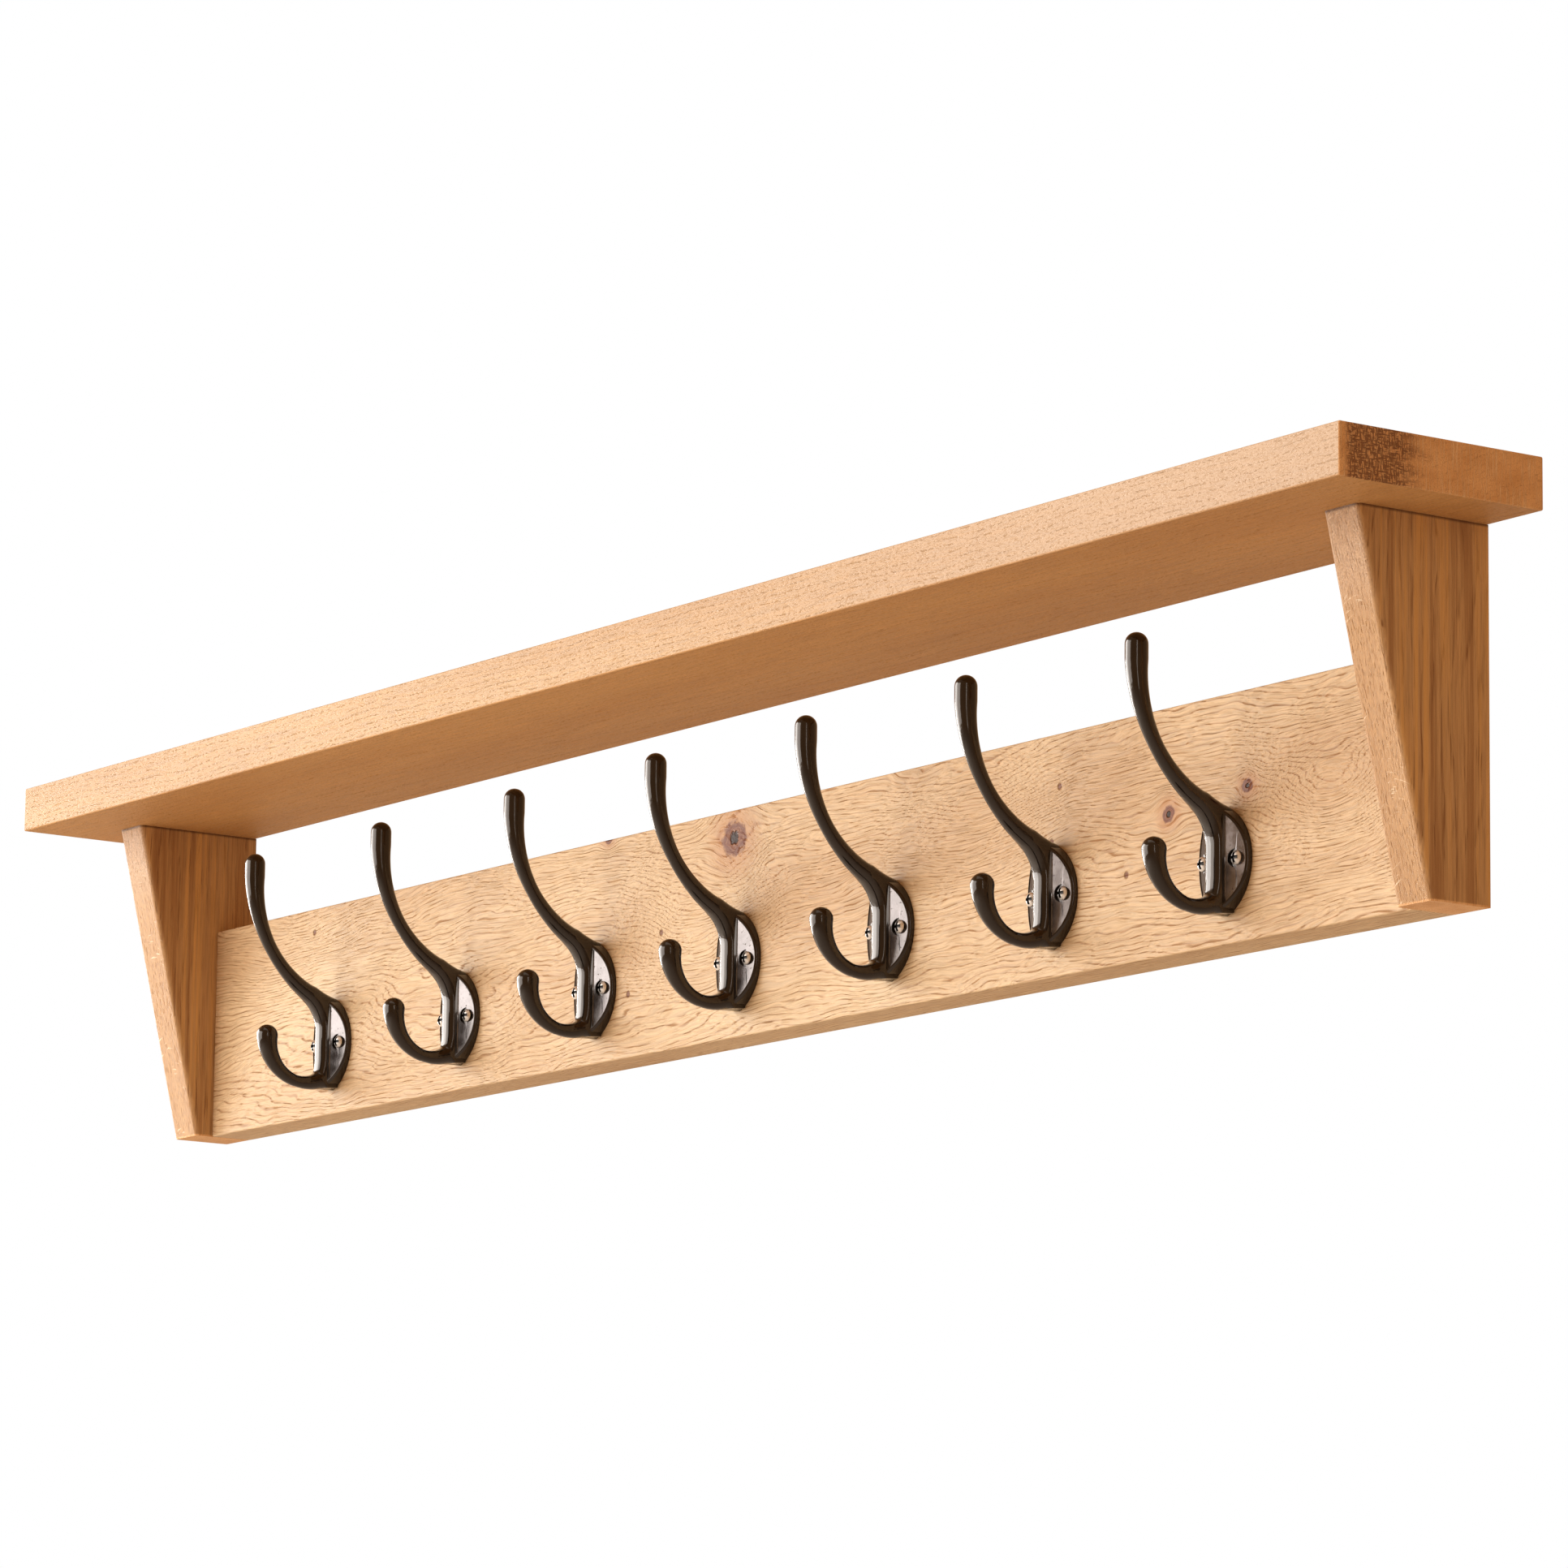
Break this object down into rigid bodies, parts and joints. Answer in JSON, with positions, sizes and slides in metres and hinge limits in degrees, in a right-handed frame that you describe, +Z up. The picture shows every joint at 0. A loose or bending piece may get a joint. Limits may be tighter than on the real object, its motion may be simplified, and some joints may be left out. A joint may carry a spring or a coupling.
{
  "type": "wall hook rack",
  "caption": "Oak wall coat rack: a plank shelf on two tapered end brackets, with a back board between them carrying an even row of cast two-arm hat and coat hooks.",
  "frame": {"origin": "on the wall plane, at the middle of the back board's back face", "axes": "+X to the right along the rack, +Y into the wall, +Z up; the rack stands out towards -Y"},
  "size_m": [1.1, 0.11, 0.186],
  "materials": {
    "oak": "oiled solid oak, satin",
    "hook_casting": "black bronze lacquered casting, glossy",
    "hook_screw": "bright round-head steel screw",
    "dowel": "plain beech dowel",
    "hanging_steel": "zinc-plated steel"
  },
  "bodies": {
    "root": {"shelf_board": "oak", "back_board": "oak", "bracket_left": "oak", "bracket_right": "oak", "hook_1": "hook_casting", "hook_1_screw_left": "hook_screw", "hook_1_screw_right": "hook_screw", "hook_2": "hook_casting", "hook_2_screw_left": "hook_screw", "hook_2_screw_right": "hook_screw", "hook_3": "hook_casting", "hook_3_screw_left": "hook_screw", "hook_3_screw_right": "hook_screw", "hook_4": "hook_casting", "hook_4_screw_left": "hook_screw", "hook_4_screw_right": "hook_screw", "hook_5": "hook_casting", "hook_5_screw_left": "hook_screw", "hook_5_screw_right": "hook_screw", "hook_6": "hook_casting", "hook_6_screw_left": "hook_screw", "hook_6_screw_right": "hook_screw", "hook_7": "hook_casting", "hook_7_screw_left": "hook_screw", "hook_7_screw_right": "hook_screw", "shelf_dowel_left_back": "dowel", "shelf_dowel_left_front": "dowel", "board_dowel_left_1": "dowel", "board_dowel_left_2": "dowel", "board_dowel_left_3": "dowel", "hanging_plate_left": "hanging_steel", "hanging_plate_left_screw_lower": "hanging_steel", "hanging_plate_left_screw_upper": "hanging_steel", "shelf_dowel_right_back": "dowel", "shelf_dowel_right_front": "dowel", "board_dowel_right_1": "dowel", "board_dowel_right_2": "dowel", "board_dowel_right_3": "dowel", "hanging_plate_right": "hanging_steel", "hanging_plate_right_screw_lower": "hanging_steel", "hanging_plate_right_screw_upper": "hanging_steel"}
  },
  "joints": []
}
